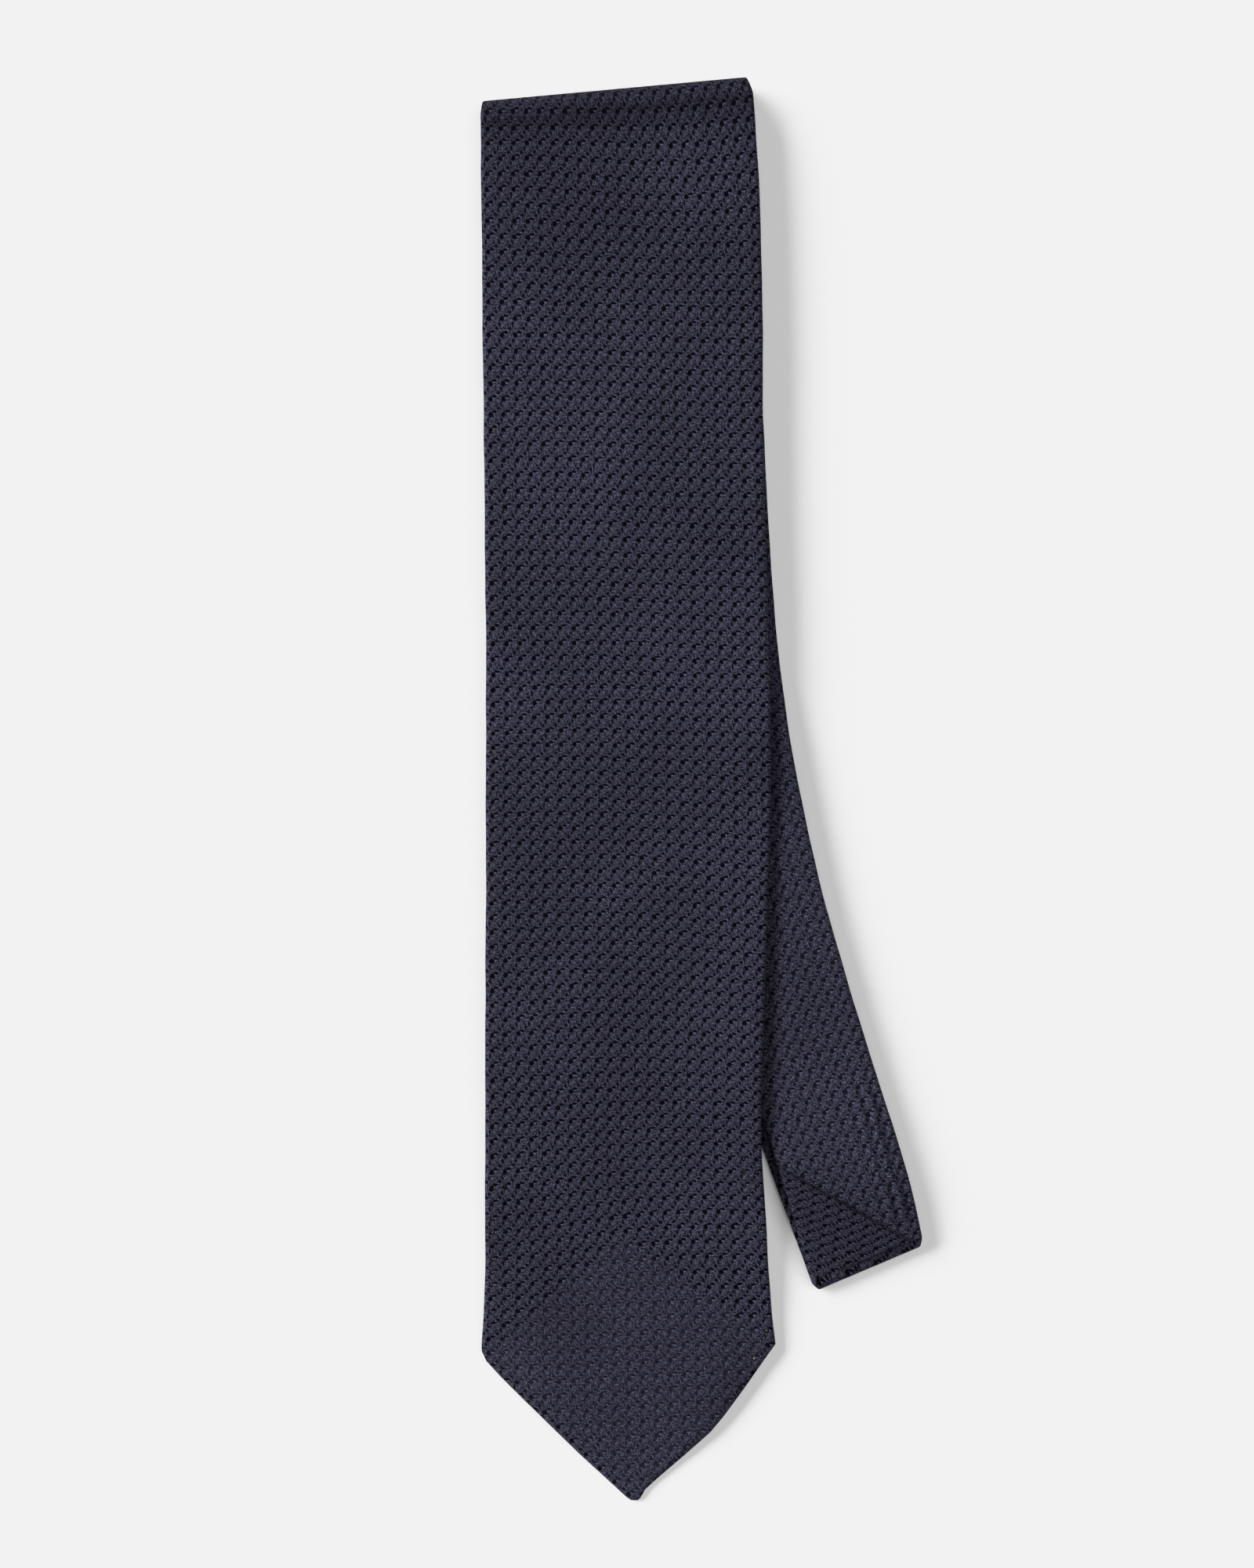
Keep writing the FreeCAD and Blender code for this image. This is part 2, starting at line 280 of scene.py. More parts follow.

# Pieces: name, node each stands for, material slot, and body. Pieces at the top fold lie between
# both bodies and are attached to neither.
PIECES = [
    ("blade_cloth_front", "blade_shell_front", "grenadine_silk", "front_blade"),
    ("blade_cloth_fold", "blade_shell_fold", "grenadine_silk", "both"),
    ("blade_cloth_back", "blade_shell_back", "grenadine_silk", "folded_tie"),
    ("neck_cloth", "neck_shell", "grenadine_silk", "folded_tie"),
    ("tail_cloth", "tail_shell", "grenadine_silk", "folded_tie"),
    ("interlining_front_wool", "interlining_front", "wool_interlining", "front_blade"),
    ("interlining_fold_wool", "interlining_fold", "wool_interlining", "both"),
    ("interlining_back_wool", "interlining_back", "wool_interlining", "folded_tie"),
    ("blade_lining", "blade_tipping", "lining", "front_blade"),
    ("tail_lining", "tail_tipping", "lining", "folded_tie"),
    ("slip_thread_front", "slip_stitch_front", "sewing_thread", "front_blade"),
    ("slip_thread_fold", "slip_stitch_fold", "sewing_thread", "both"),
    ("slip_thread_back", "slip_stitch_back", "sewing_thread", "folded_tie"),
    ("blade_bar_tack", "bar_tack_blade", "sewing_thread", "front_blade"),
    ("tail_bar_tack", "bar_tack_tail", "sewing_thread", "folded_tie"),
    ("blade_join_stitches", "join_seam_blade", "sewing_thread", "folded_tie"),
    ("tail_join_stitches", "join_seam_tail", "sewing_thread", "folded_tie"),
    ("keeper_band", "keeper_loop", "grenadine_silk", "front_blade"),
]

# Camera, in millimetres: middle of its view, the view's height at a level above the floor, and
# the lens
VIEW_X = -22.05
VIEW_Y = 1.5
VIEW_HEIGHT = 450.2
VIEW_LEVEL = 10.0
LENS = 200.0
SENSOR_HEIGHT = 36.0


def smooth(t):
    """Eases from 0 to 1 while t goes from 0 to 1."""
    t = np.clip(t, 0.0, 1.0)
    return t * t * (3 - 2 * t)


def ramp(value, start, end):
    """Eases from 0 at start to 1 at end, which may lie below it."""
    return smooth((value - start) / (end - start))


def cos_sin(degrees):
    return math.cos(math.radians(degrees)), math.sin(math.radians(degrees))


def curve_through(knots, values, at):
    """A smooth cubic through the values at the knots."""
    k, v = np.asarray(knots, float), np.asarray(values, float)
    slope = np.gradient(v, k)
    i = np.clip(np.searchsorted(k, at, side="right") - 1, 0, len(k) - 2)
    h = k[i + 1] - k[i]
    f = (at - k[i]) / h
    f2, f3 = f * f, f * f * f
    a = (2 * f3 - 3 * f2 + 1) * v[i] + (f3 - 2 * f2 + f) * h * slope[i]
    return a + (3 * f2 - 2 * f3) * v[i + 1] + (f3 - f2) * h * slope[i + 1]


def wander(x, y, seed, scale):
    """Soft irregularity between about -1 and 1."""
    p, q = x / scale, y / scale
    a = np.sin(p * 1.7 + q * 0.9 + seed) + np.sin(-p * 1.1 + q * 1.6 + seed * 2.3)
    b = np.sin(p * 3.1 - q * 2.3 + seed * 1.7) + np.sin(p * 0.7 + q * 3.7 + seed * 3.1)
    return a * 0.33 + b * 0.17


class Run:
    """One flat stretch of the tie between folds, or from a fold to a pointed end."""

    def __init__(self, start, stations, z, face_up, end=None, tip=None, edge=None, sag=0.0, spring=0.0):
        rows = [(start["x"], start["y"], start["width"])] + stations
        if end:
            rows.append((end["x"], end["y"], end["width"]))
        rows = np.array(rows, float)
        step = np.hypot(*(rows[1:, :2] - rows[:-1, :2]).T)
        self.knots = np.concatenate([[0.0], np.cumsum(step)])
        self.rows, self.length = rows, self.knots[-1]
        self.start, self.end, self.tip, self.edge = start, end, tip, edge
        self.z, self.up, self.sag, self.spring = z, 1 if face_up else -1, sag, spring

    def centre(self, s):
        s1 = np.clip(s, 0, self.length)
        x = curve_through(self.knots, self.rows[:, 0], s1)
        y = curve_through(self.knots, self.rows[:, 1], s1)
        return x, y - np.maximum(s - self.length, 0)

    def half(self, s):
        return curve_through(self.knots, self.rows[:, 2], np.clip(s, 0, self.length)) / 2

    def across(self, s):
        """Angle of the direction across the run, pointing to +X."""
        s1 = np.clip(s, 0.5, self.length - 0.5)
        xa, ya = self.centre(s1 - 0.5)
        xb, yb = self.centre(s1 + 0.5)
        angle = np.arctan2(yb - ya, xb - xa) + math.pi / 2
        angle = np.where(np.cos(angle) < 0, angle - math.pi, angle)
        if self.tip:
            angle = angle * (1 - smooth((s - self.length + TIP_REACH) / TIP_REACH))
        for fold, away in ((self.start, s), (self.end, self.length - s)):
            if fold:
                near = np.clip(1 - away / FOLD_REACH, 0, 1) ** 2
                angle = angle + (math.radians(fold["angle"]) - angle) * near
        return angle

    def flat(self, s, t):
        """Plan position of the point t (-1 to 1) across the run at s along it."""
        x, y = self.centre(s)
        angle, half = self.across(s), self.half(s)
        return x + t * half * np.cos(angle), y + t * half * np.sin(angle)

    def middle(self, x, y):
        """Height of the middle of the cloth's thickness."""
        z = self.z + LAYER / 2 - self.sag * ramp(y, *SAG_Y)
        if self is FRONT:
            z = z - TIP_SAG * ramp(y, *TIP_SAG_Y)
            z = z - EDGE_DROOP * ramp(np.abs(x - BLADE_X), *DROOP_X) * ramp(y, *DROOP_Y)
        return z + self.spring * rise(x, y)

    def place(self, s, t, off):
        """Point at a height off above the middle, counted towards the cloth's face."""
        x, y = self.flat(s, t)
        return np.stack([x, y, self.middle(x, y) + self.up * off], -1)

    def tip_end(self, t):
        """How far along the run the pointed end reaches at t across it."""
        x, y = self.flat(np.full_like(t, self.length), t)
        edge_x, edge_y = np.array(self.edge).T
        return self.length + np.maximum(y - np.interp(x, edge_x, edge_y), 0)


def rise(x, y):
    """How much the neck strip springs up between its fold and the blade's edge, from 0 to 1."""
    return ramp(x, *SPRING_X) * ramp(y, *SPRING_LOW) * ramp(y, *SPRING_HIGH)


FRONT = Run(TOP_FOLD, FRONT_STATIONS, 9.5, True, tip=FRONT_TIP, edge=FRONT_EDGE, sag=FRONT_SAG)
UPPER = Run(TOP_FOLD, UPPER_STATIONS, 0.0, False, end=NECK_FOLD, spring=UPPER_SPRING)
NECK = Run(NECK_FOLD, NECK_STATIONS, 2.8, True, end=TAIL_FOLD, spring=NECK_SPRING)
TAIL = Run(TAIL_FOLD, TAIL_STATIONS, 5.7, False, tip=TAIL_TIP, edge=TAIL_EDGE, sag=TAIL_SAG)


def bend_place(fold, phi, t, off):
    """Point on the cloth going round a fold: phi from 0 at its first run to pi at its second."""
    u = np.array(cos_sin(fold["angle"]))
    out = np.array([-u[1], u[0]]) * (1 if fold["turn"] > 0 else -1)
    middle = fold["radius"] - LAYER / 2
    r = middle + (off if fold["face_outside"] else -off)
    half = fold["width"] / 2
    reach = np.where(t > 0, 1.2, 0.8) * CORNER
    drawn = reach * np.sin(phi) ** 2 * np.abs(t) ** (0.9 * half / reach)
    a = t * half - np.sign(t) * drawn
    top = 1 if fold is TOP_FOLD else -1
    x = fold["x"] + a * u[0] + r * np.sin(phi) * out[0]
    y = fold["y"] + a * u[1] + r * np.sin(phi) * out[1]
    z = fold["z"] + top * r * np.cos(phi)
    return np.stack([x, y, z + 0 * x], -1)


def roll(d):
    """Height of the cloth above its middle, d in from the edge of a run."""
    f = 1 - np.clip(d / EDGE_ROLL, 0, 1)
    return LAYER / 2 * np.sqrt(np.clip(1 - f ** 2.2, 0, 1))


def relief(u, v):
    """Height of the weave: low in the holes, high between their diagonal lines."""
    low = np.zeros_like(u)
    for x, y, rx, ry, depth in MARKS:
        dx = (u - x + 0.5) % 1 - 0.5
        dy = (v - y + 0.5) % 1 - 0.5
        low = low + depth * np.exp(-((dx / (rx + 0.06)) ** 2 + (dy / (ry + 0.06)) ** 2))
    swell = np.cos(2 * math.pi * (u - v + 0.5))
    return RELIEF * (0.35 - np.minimum(low, 1.0) + 0.18 * swell)


def columns(count, half):
    """t values across a run: even steps, closer ones where the edge rolls over, and one on
    each side of the slit at the centre back."""
    near = 1 - np.array([0.0, 0.14, 0.45, 0.95]) / half
    t = np.linspace(-1, 1, count)
    t = t[(np.abs(t) < near[-1] - 0.25 / half) & (np.abs(t) > SLIT_T * 1.5)]
    return np.sort(np.concatenate([-near, t, near, [-SLIT_T, SLIT_T]]))


def inside(px, py, polygon):
    """Which points lie inside a polygon."""
    hit = np.zeros(px.shape, bool)
    for (x1, y1), (x2, y2) in zip(polygon, polygon[1:] + polygon[:1]):
        cross = (y1 > py) != (y2 > py)
        at = x1 + (py - y1) / ((y2 - y1) or 1e-9) * (x2 - x1)
        hit ^= cross & (px < at)
    return hit


def nearest_on(px, py, polygon):
    """Nearest points of a polygon's outline."""
    best = np.full(px.shape, 1e9)
    bx, by = px.copy(), py.copy()
    for (x1, y1), (x2, y2) in zip(polygon, polygon[1:] + polygon[:1]):
        dx, dy = x2 - x1, y2 - y1
        f = np.clip(((px - x1) * dx + (py - y1) * dy) / (dx * dx + dy * dy), 0, 1)
        qx, qy = x1 + f * dx, y1 + f * dy
        away = np.hypot(px - qx, py - qy)
        bx, by = np.where(away < best, qx, bx), np.where(away < best, qy, by)
        best = np.minimum(away, best)
    return bx, by


def kite(run, opening):
    """Outline of an opening of the centre back."""
    x = float(np.interp(-opening["wide"], -run.rows[:, 1], run.rows[:, 0]))
    top_x = float(np.interp(-opening["top"], -run.rows[:, 1], run.rows[:, 0]))
    return [
        (top_x, opening["top"]),
        (x + opening["half"], opening["wide"]),
        (run.tip[0], opening["low"]),
        (x - opening["half"], opening["wide"]),
    ]


def from_join(cut, x, y):
    """Distance from the line of a bias join, negative on its lower side."""
    c, k = cos_sin(cut["angle"])
    return -(x - cut["x"]) * k + (y - cut["y"]) * c


def flat_part(run, t, s, v, rough=0.0, tip=False, joins=()):
    """Rows of a flat stretch. s and v give place and weave repeat of every row and column."""
    half = run.half(s)
    tt = np.broadcast_to(t, s.shape)
    x, y = run.flat(s, tt)
    clear = smooth(s / 8) * (1 if run.tip else smooth((run.length - s) / 8))
    wide = 1 + EDGE_WAVE * wander(0 * y, y, 1.3, 9.0) / half * clear
    x, y = run.flat(s, tt * wide)
    d = (1 - np.abs(tt)) * half
    if tip:
        end = run.tip_end(t)
        d = np.minimum(d, (end[None, :] - s) * math.cos(math.pi / 4))
    dip = np.zeros_like(s)
    for cut in joins:
        away = np.abs(from_join(cut, x, y))
        dip = np.maximum(dip, SEAM_DIP * np.exp(-((away / SEAM_WIDTH) ** 2)))
    u = tt * FRONT_REPEATS / 2 if run is FRONT else tt * half / PITCH_X
    du, dv = slip(x, y)
    return dict(run=run, x=x, y=y, d=np.maximum(d, 0), u=u + du, v=v + dv, rough=rough, dip=dip)


def fold_part(fold, t, phi, v):
    """Rows round a fold: phi and v give the angle and weave repeat of every row."""
    p = np.broadcast_to(phi[:, None], (len(phi), len(t)))
    tt = np.broadcast_to(t, p.shape)
    u = tt * FRONT_REPEATS / 2 if fold is TOP_FOLD else tt * fold["width"] / 2 / PITCH_X
    d = (1 - np.abs(tt)) * fold["width"] / 2
    place = bend_place(fold, p, tt, 0.0)
    du, dv = slip(place[..., 0], place[..., 1])
    return dict(fold=fold, phi=p, t=tt, d=d, u=u + du, v=v[:, None] + dv, rough=1.0)


def pucker(x, y):
    """Cloth drawn up along the right edge of the neck strip, above the bias join."""
    c, k = cos_sin(PUCKER["lean"])
    dx, dy = x - PUCKER["x"], y - PUCKER["y"]
    along, across = dy * c - dx * k, dx * c + dy * k
    near = np.exp(-((across / PUCKER["width"]) ** 2))
    near = near * smooth((along + 16) / 10) * smooth((36 - along) / 14)
    bend = 0.8 * np.sin(along * 0.21) + 0.5 * np.sin(along * 0.5)
    return PUCKER["height"] * near * np.sin(across * 1.75 + bend)


def surface(part, side):
    """Points of a part on its face (side 1) or its back (side -1)."""
    up = roll(part["d"])
    calm = smooth(part["d"] / 2.2) * part["rough"]
    u, v = part["u"], part["v"]
    if "fold" in part:
        calm = calm * (1 - 0.85 * np.sin(part["phi"]))
        off = up * side + (relief(u, v) * calm if side > 0 else 0)
        points = bend_place(part["fold"], part["phi"], part["t"], off)
        points[..., 2] = np.maximum(points[..., 2], FLOOR_GAP)
        return points
    x, y, run = part["x"], part["y"], part["run"]
    off = up * side
    if side > 0:
        off = off + relief(u, v) * calm - part["dip"]
        off = off + 0.10 * wander(x, y, 4.1, 16.0) * smooth(part["d"] / 5)
        if run is NECK:
            off = off + pucker(x, y) * smooth(part["d"] / 1.5)
    else:
        off = off + part["dip"] * 0.6
    z = np.maximum(run.middle(x, y) + run.up * off, FLOOR_GAP)
    return np.stack([x, y, z], -1)


def faces_between(index):
    """Quads of a grid of vertex numbers."""
    a, b, c, d = index[:-1, :-1], index[:-1, 1:], index[1:, 1:], index[1:, :-1]
    return np.stack([a, b, c, d], -1)


def two_sides(upper, lower):
    """Quads of an upper and a lower grid of vertex numbers, facing apart."""
    both = [faces_between(upper), faces_between(lower)[:, :, ::-1]]
    return np.concatenate([quads.reshape(-1, 4) for quads in both]).tolist()


def write_marks(obj, name, values):
    """Stores one number per vertex for the material to read."""
    filled = np.zeros(len(obj.data.vertices), np.float32)
    filled[:values.size] = values.ravel()
    attribute = obj.data.attributes.new(name, "FLOAT", "POINT")
    attribute.data.foreach_set("value", filled)


def back_columns(t, back_step):
    """Columns that the coarser back keeps, and which of them is just left of the slit."""
    cols = len(t)
    slit = [int(np.argmin(np.abs(t - k))) for k in (-SLIT_T, SLIT_T)]
    rim = {*range(5), *range(cols - 5, cols), *slit}
    spaced = {*range(4, slit[0], back_step), *range(cols - 5, slit[1], -back_step)}
    keep = sorted(rim | spaced)
    return keep, keep.index(slit[0])


def middles(grid):
    """Mean of the four corners of every face of a grid."""
    return (grid[:-1, :-1] + grid[1:, 1:] + grid[:-1, 1:] + grid[1:, :-1]) / 4


def open_back(back, slit_column, run, opening):
    """Which faces of the back the slit and the opening leave out. The rest fits the outline."""
    x, y = back[..., 0], back[..., 1]
    mid_x, mid_y = middles(x), middles(y)
    gone = np.zeros(mid_x.shape, bool)
    if not opening:
        gone[:, slit_column] = True
        return gone
    outline = kite(run, opening)
    hole = inside(mid_x, mid_y, outline)
    gone |= hole
    gone[:, slit_column] |= mid_y[:, slit_column] > opening["top"]
    used = np.zeros(x.shape, int)
    total = np.zeros(x.shape, int)
    for i, j in ((0, 0), (0, 1), (1, 0), (1, 1)):
        corner = (slice(i, i + gone.shape[0]), slice(j, j + gone.shape[1]))
        total[corner] += 1
        used[corner] += hole
    rim = (used > 0) & (used < total) & (y < opening["top"] + 0.6)
    rim_x, rim_y = nearest_on(x, y, outline)
    back[..., 0] = np.where(rim, rim_x, x)
    back[..., 1] = np.where(rim, rim_y, y)
    return gone


def back_faces(back_index, index, keep, gone, pointed):
    """Faces of the back. At a pointed end they meet every vertex of the face's last row."""
    under = faces_between(back_index)[:, :, ::-1]
    if not pointed:
        return under[~gone].tolist(), []
    last = []
    for j in range(len(keep) - 1):
        edge = [int(k) for k in index[-1, keep[j]:keep[j + 1] + 1]]
        last.append([int(back_index[-2, j + 1]), int(back_index[-2, j])] + edge)
    back_index[-1] = index[-1, keep]
    return under[:-1][~gone[:-1]].tolist(), last


def free_edges(faces, index, back_index):
    """Edges along the slit and the opening, each with the face beside it."""
    beside = {}
    for face in faces:
        for a, b in zip(face, face[1:] + face[:1]):
            beside[(a, b)] = face
    sides = set(index[:, 0]) | set(index[:, -1]) | set(index[-1])
    ends = set(back_index[0].tolist()) | set(back_index[-1].tolist())
    free = {}
    for (a, b), face in beside.items():
        joined = (b, a) in beside or {a, b} <= sides or {a, b} <= ends
        if not joined:
            free[(a, b)] = face
    return free


def turned_under(points, free, up_to):
    """Strip turned under along free edges: the vertices it hangs on, and two new points for
    each. up_to gives the point of the face over a vertex."""
    pulls = {}
    for (a, b), face in free.items():
        pull = points[face].mean(0)[:2] - (points[a][:2] + points[b][:2]) / 2
        for k in (a, b):
            pulls.setdefault(k, []).append(pull)
    places = []
    for k, ways in pulls.items():
        way = np.mean(ways, 0)
        way = way / max(np.linalg.norm(way), 1e-6)
        side = np.array([way[0], way[1], 0.0])
        up = up_to(k) - points[k]
        up = up / max(np.linalg.norm(up), 1e-6)
        places.append(points[k] + up * CLOTH + side * 0.12)
        places.append(points[k] + up * CLOTH * 1.25 + side * TURN_UNDER)
    return list(pulls), np.array(places)


def cloth(name, parts, t, opening=None, run=None, back_step=2):
    """One cloth as a flattened sleeve: face, back with its slit, and edges turned under."""
    face = np.concatenate([surface(p, 1) for p in parts])
    u = np.concatenate([p["u"] for p in parts])
    v = np.concatenate([p["v"] for p in parts])
    keep, slit_column = back_columns(t, back_step)
    back = np.concatenate([surface(p, -1) for p in parts])[:, keep]
    index = np.arange(u.size).reshape(u.shape)
    back_index = u.size + np.arange(back[..., 0].size).reshape(back.shape[:2])
    back_index[:, 0], back_index[:, -1] = index[:, 0], index[:, -1]
    gone = open_back(back, slit_column, run, opening)
    points = np.concatenate([face.reshape(-1, 3), back.reshape(-1, 3)])
    edge_u = np.where(t[keep] > 0, u[:, -1:], u[:, :1])
    us = np.concatenate([u.ravel(), (2 * edge_u - u[:, keep]).ravel()])
    vs = np.concatenate([v.ravel(), v[:, keep].ravel()])

    kept, last = back_faces(back_index, index, keep, gone, opening is not None)
    free = free_edges(kept + last, index, back_index)
    over = {int(n): face[i, keep[j]] for (i, j), n in np.ndenumerate(back_index)}
    owners, places = turned_under(points, free, lambda k: over.get(k, face[0, 0]))
    strip = {k: len(points) + 2 * n for n, k in enumerate(owners)}
    quads = faces_between(index).reshape(-1, 4).tolist() + kept
    for a, b in free:
        quads.append([b, a, strip[a], strip[b]])
        quads.append([strip[b], strip[a], strip[a] + 1, strip[b] + 1])
    widths = np.tile([0, TURN_UNDER / PITCH_X], len(owners))
    us = np.concatenate([us, np.repeat(us[owners], 2) + widths])
    vs = np.concatenate([vs, np.repeat(vs[owners], 2)])
    obj = make_mesh(name, np.concatenate([points, places]), quads + last, us, vs)
    dips = np.concatenate([p.get("dip", np.zeros(p["u"].shape)) for p in parts])
    # Painted shade along the groove of each bias join, following its depth
    write_marks(obj, "Seam", smooth((dips / SEAM_DIP - 0.25) / 0.75))
    return obj


def add_object(name, data):
    made = bpy.data.objects.new(name, data)
    bpy.context.collection.objects.link(made)
    return made


def make_mesh(name, points, faces, us=None, vs=None):
    """Mesh object from points in millimetres, with weave coordinates if given."""
    mesh = bpy.data.meshes.new(name)
    mesh.from_pydata((np.asarray(points) * MM).tolist(), [], faces)
    mesh.validate()
    if us is not None:
        layer = mesh.uv_layers.new(name="Weave")
        corner = np.empty(len(mesh.loops), np.int32)
        mesh.loops.foreach_get("vertex_index", corner)
        uv = np.stack([np.asarray(us)[corner], np.asarray(vs)[corner]], -1)
        layer.data.foreach_set("uv", uv.astype(np.float32).ravel())
    mesh.polygons.foreach_set("use_smooth", [True] * len(mesh.polygons))
    mesh.update()
    return add_object(name, mesh)


def repeats_down(s):
    """Weave repeats from the top fold down the front blade: stretched near the fold."""
    grid = np.linspace(0, 520, 1041)
    pitch = PITCH_Y + (PITCH_Y_TOP - PITCH_Y) * (1 - smooth(grid / 215))
    total = np.concatenate([[0], np.cumsum(0.5 / ((pitch[1:] + pitch[:-1]) / 2))])
    return np.interp(s, grid, total)


def repeats_round(fold, phi):
    """Weave repeats from a fold's first run to the angle phi."""
    return phi * (fold["radius"] - LAYER / 2) / PITCH_Y


def slip(x, y):
    """How far the weave wanders from straight rows and columns, in repeats."""
    across = 0.10 * wander(x, y, 0.4, 24.0)
    along = 0.22 * wander(x, y, 2.2, 30.0) + 0.35 * np.sin(x / 21.0 + y / 90.0)
    return across, along


def rows_to_tip(run, t, straight):
    """Straight rows, then rows that bend more and more into the pointed end's two edges."""
    body = np.broadcast_to(straight[:, None], (len(straight), len(t)))
    r = np.concatenate([np.linspace(0, 0.975, TIP_ROWS), [0.984, 0.991, 0.9965, 1.0]])[1:]
    end = run.tip_end(t)
    return np.concatenate([body, straight[-1] + r[:, None] * (end[None, :] - straight[-1])])


def join_line(run, cut, t):
    """How far along a run each column meets a bias join, which stays off the fold."""
    s = np.linspace(0, run.length, 1500)
    found = []
    for column in t:
        x, y = run.flat(s, np.full_like(s, column))
        found.append(float(np.interp(0.0, from_join(cut, x, y), s)))
    return np.maximum(found, JOIN_FROM_FOLD)


def rows_between(first, last, count, close=()):
    """Even rows between two lines across a run, with closer ones at the ends named in close."""
    r = np.linspace(0, 1, count)
    near = np.array([0.25, 0.5]) / (count - 1)
    if "first" in close:
        r = np.concatenate([r[:1], near, r[1:]])
    if "last" in close:
        r = np.concatenate([r[:-1], 1 - near[::-1], r[-1:]])
    return first[None, :] + r[:, None] * (last - first)[None, :]


def turned(part, middle_v, degrees):
    """The same stretch with its weave turned in its own plane."""
    angle = np.radians(degrees)
    u, v = part["u"], part["v"] - middle_v
    part["u"] = u * np.cos(angle) - v * np.sin(angle)
    part["v"] = u * np.sin(angle) + v * np.cos(angle) + middle_v
    return part


def front_cloth():
    """Front blade, from the top fold to its point."""
    t = columns(FRONT_REPEATS * 6 + 1, 40.5)
    grid = np.linspace(0, 520, 2081)
    straight = np.interp(np.arange(0, repeats_down(STRAIGHT_ROWS), 0.2), repeats_down(grid), grid)
    s = np.maximum(rows_to_tip(FRONT, t, straight), FOLD_GAP)
    part = flat_part(FRONT, t, s, -repeats_down(s), rough=1.0, tip=True)
    obj = cloth("blade_cloth_front", [part], t, FRONT_OPENING, FRONT, back_step=3)
    # Painted shade: darker towards the top fold, partly standing for the stretched, more open weave there
    write_marks(obj, "StretchAndFoldShade", 0.3 * (1 - smooth(s / 70)) + 0.7 * (1 - smooth(s / 9)))
    # Band of painted light in a few holes along the blade's edges
    band = np.exp(-(((part["d"] - PIN_BAND["inset"]) / PIN_BAND["spread"]) ** 2))
    band = band * ramp(part["y"], *PIN_BAND["top"]) * ramp(part["y"], *PIN_BAND["low"])
    write_marks(obj, "Pins", band)
    return obj


def fold_cloth():
    """Cloth round the top fold."""
    t = columns(FRONT_REPEATS * 6 + 1, 40.5)
    phi = np.linspace(0, math.pi, 23)
    obj = cloth("blade_cloth_fold", [fold_part(TOP_FOLD, t, phi, phi)], t, back_step=3)
    # Painted shade all round the top fold, partly standing for its stretched weave
    write_marks(obj, "StretchAndFoldShade", np.ones(len(obj.data.vertices)))
    return obj


def back_cloth():
    """Upper blade, neck fold, and the strip up to the first bias join."""
    t = columns(73, 18.0)
    upper_rows = np.append(np.arange(0, UPPER.length - 1.0, 2.4), UPPER.length)
    upper_rows[0] = FOLD_GAP
    upper_s = np.broadcast_to(upper_rows[:, None], (len(upper_rows), len(t)))
    fold_v = math.pi + UPPER.length / PITCH_Y
    upper = flat_part(UPPER, t, upper_s, math.pi + upper_s / PITCH_Y, rough=0.4)
    turned(upper, fold_v, BIAS_TURN * smooth((upper_s - UPPER.length + 60) / 60))
    phi = np.linspace(0, math.pi, 15)[1:]
    bend = fold_part(NECK_FOLD, t, phi, fold_v + repeats_round(NECK_FOLD, phi))
    turned(bend, fold_v, BIAS_TURN)
    s = rows_between(np.zeros(len(t)), join_line(NECK, BLADE_JOIN, t), 34, ["last"])[1:]
    strip = flat_part(NECK, t, s, fold_v + (s + NECK_ROUND) / PITCH_Y, rough=1.0, joins=[BLADE_JOIN])
    turned(strip, fold_v, BIAS_TURN)
    strip["v"] = fold_v + (strip["v"] - fold_v) * CROWDING
    return cloth("blade_cloth_back", [upper, bend, strip], t)


def neck_cloth():
    """Neck strip between the bias joins."""
    t = columns(61, 18.0)
    start, end = join_line(NECK, BLADE_JOIN, t), join_line(NECK, TAIL_JOIN, t)
    s = rows_between(start, end, 311, ["first", "last"])
    part = flat_part(NECK, t, s, s / PITCH_Y, rough=1.0, joins=[BLADE_JOIN, TAIL_JOIN])
    obj = cloth("neck_cloth", [part], t)
    write_marks(obj, "Double", np.full(len(obj.data.vertices), NECK_CLOSED))
    return obj


def tail_cloth():
    """Strip from the second bias join, tail fold and tail."""
    t = columns(49, 22.0)
    start = join_line(NECK, TAIL_JOIN, t)
    s = rows_between(start, np.full(len(t), NECK.length), 36)
    strip = flat_part(NECK, t, s, s / PITCH_Y, rough=0.5, joins=[TAIL_JOIN])
    phi = np.linspace(0, math.pi, 15)[1:]
    v = NECK.length / PITCH_Y
    bend = fold_part(TAIL_FOLD, t, phi, v + repeats_round(TAIL_FOLD, phi))
    s = rows_to_tip(TAIL, t, np.arange(0, 335, 1.5))[1:]
    last = flat_part(TAIL, t, s, v + (s + TAIL_ROUND) / PITCH_Y, rough=0.5, tip=True)
    return cloth("tail_cloth", [strip, bend, last], t, TAIL_OPENING, TAIL)


def put(where, s, t, off):
    """A point on a run, or on the bend of a fold."""
    return where.place(s, t, off) if isinstance(where, Run) else bend_place(where, s, t, off)


def layer(name, spans, t, low, high):
    """Closed slab of an inner layer, from spans of (run or fold, rows)."""
    tops, bottoms = [], []
    for where, s in spans:
        tt = np.broadcast_to(t, s.shape)
        tops.append(put(where, s, tt, high))
        bottoms.append(put(where, s, tt, low))
    top, bottom = np.concatenate(tops), np.concatenate(bottoms)
    rows, cols = top.shape[:2]
    upper = np.arange(rows * cols).reshape(rows, cols)
    lower = upper + rows * cols
    faces = two_sides(upper, lower)
    rim = [(0, j) for j in range(cols)] + [(i, cols - 1) for i in range(1, rows)]
    rim += [(rows - 1, j) for j in range(cols - 2, -1, -1)] + [(i, 0) for i in range(rows - 2, 0, -1)]
    for a, b in zip(rim, rim[1:] + rim[:1]):
        faces.append([int(upper[b]), int(upper[a]), int(lower[a]), int(lower[b])])
    points = np.concatenate([top.reshape(-1, 3), bottom.reshape(-1, 3)])
    return make_mesh(name, points, faces)


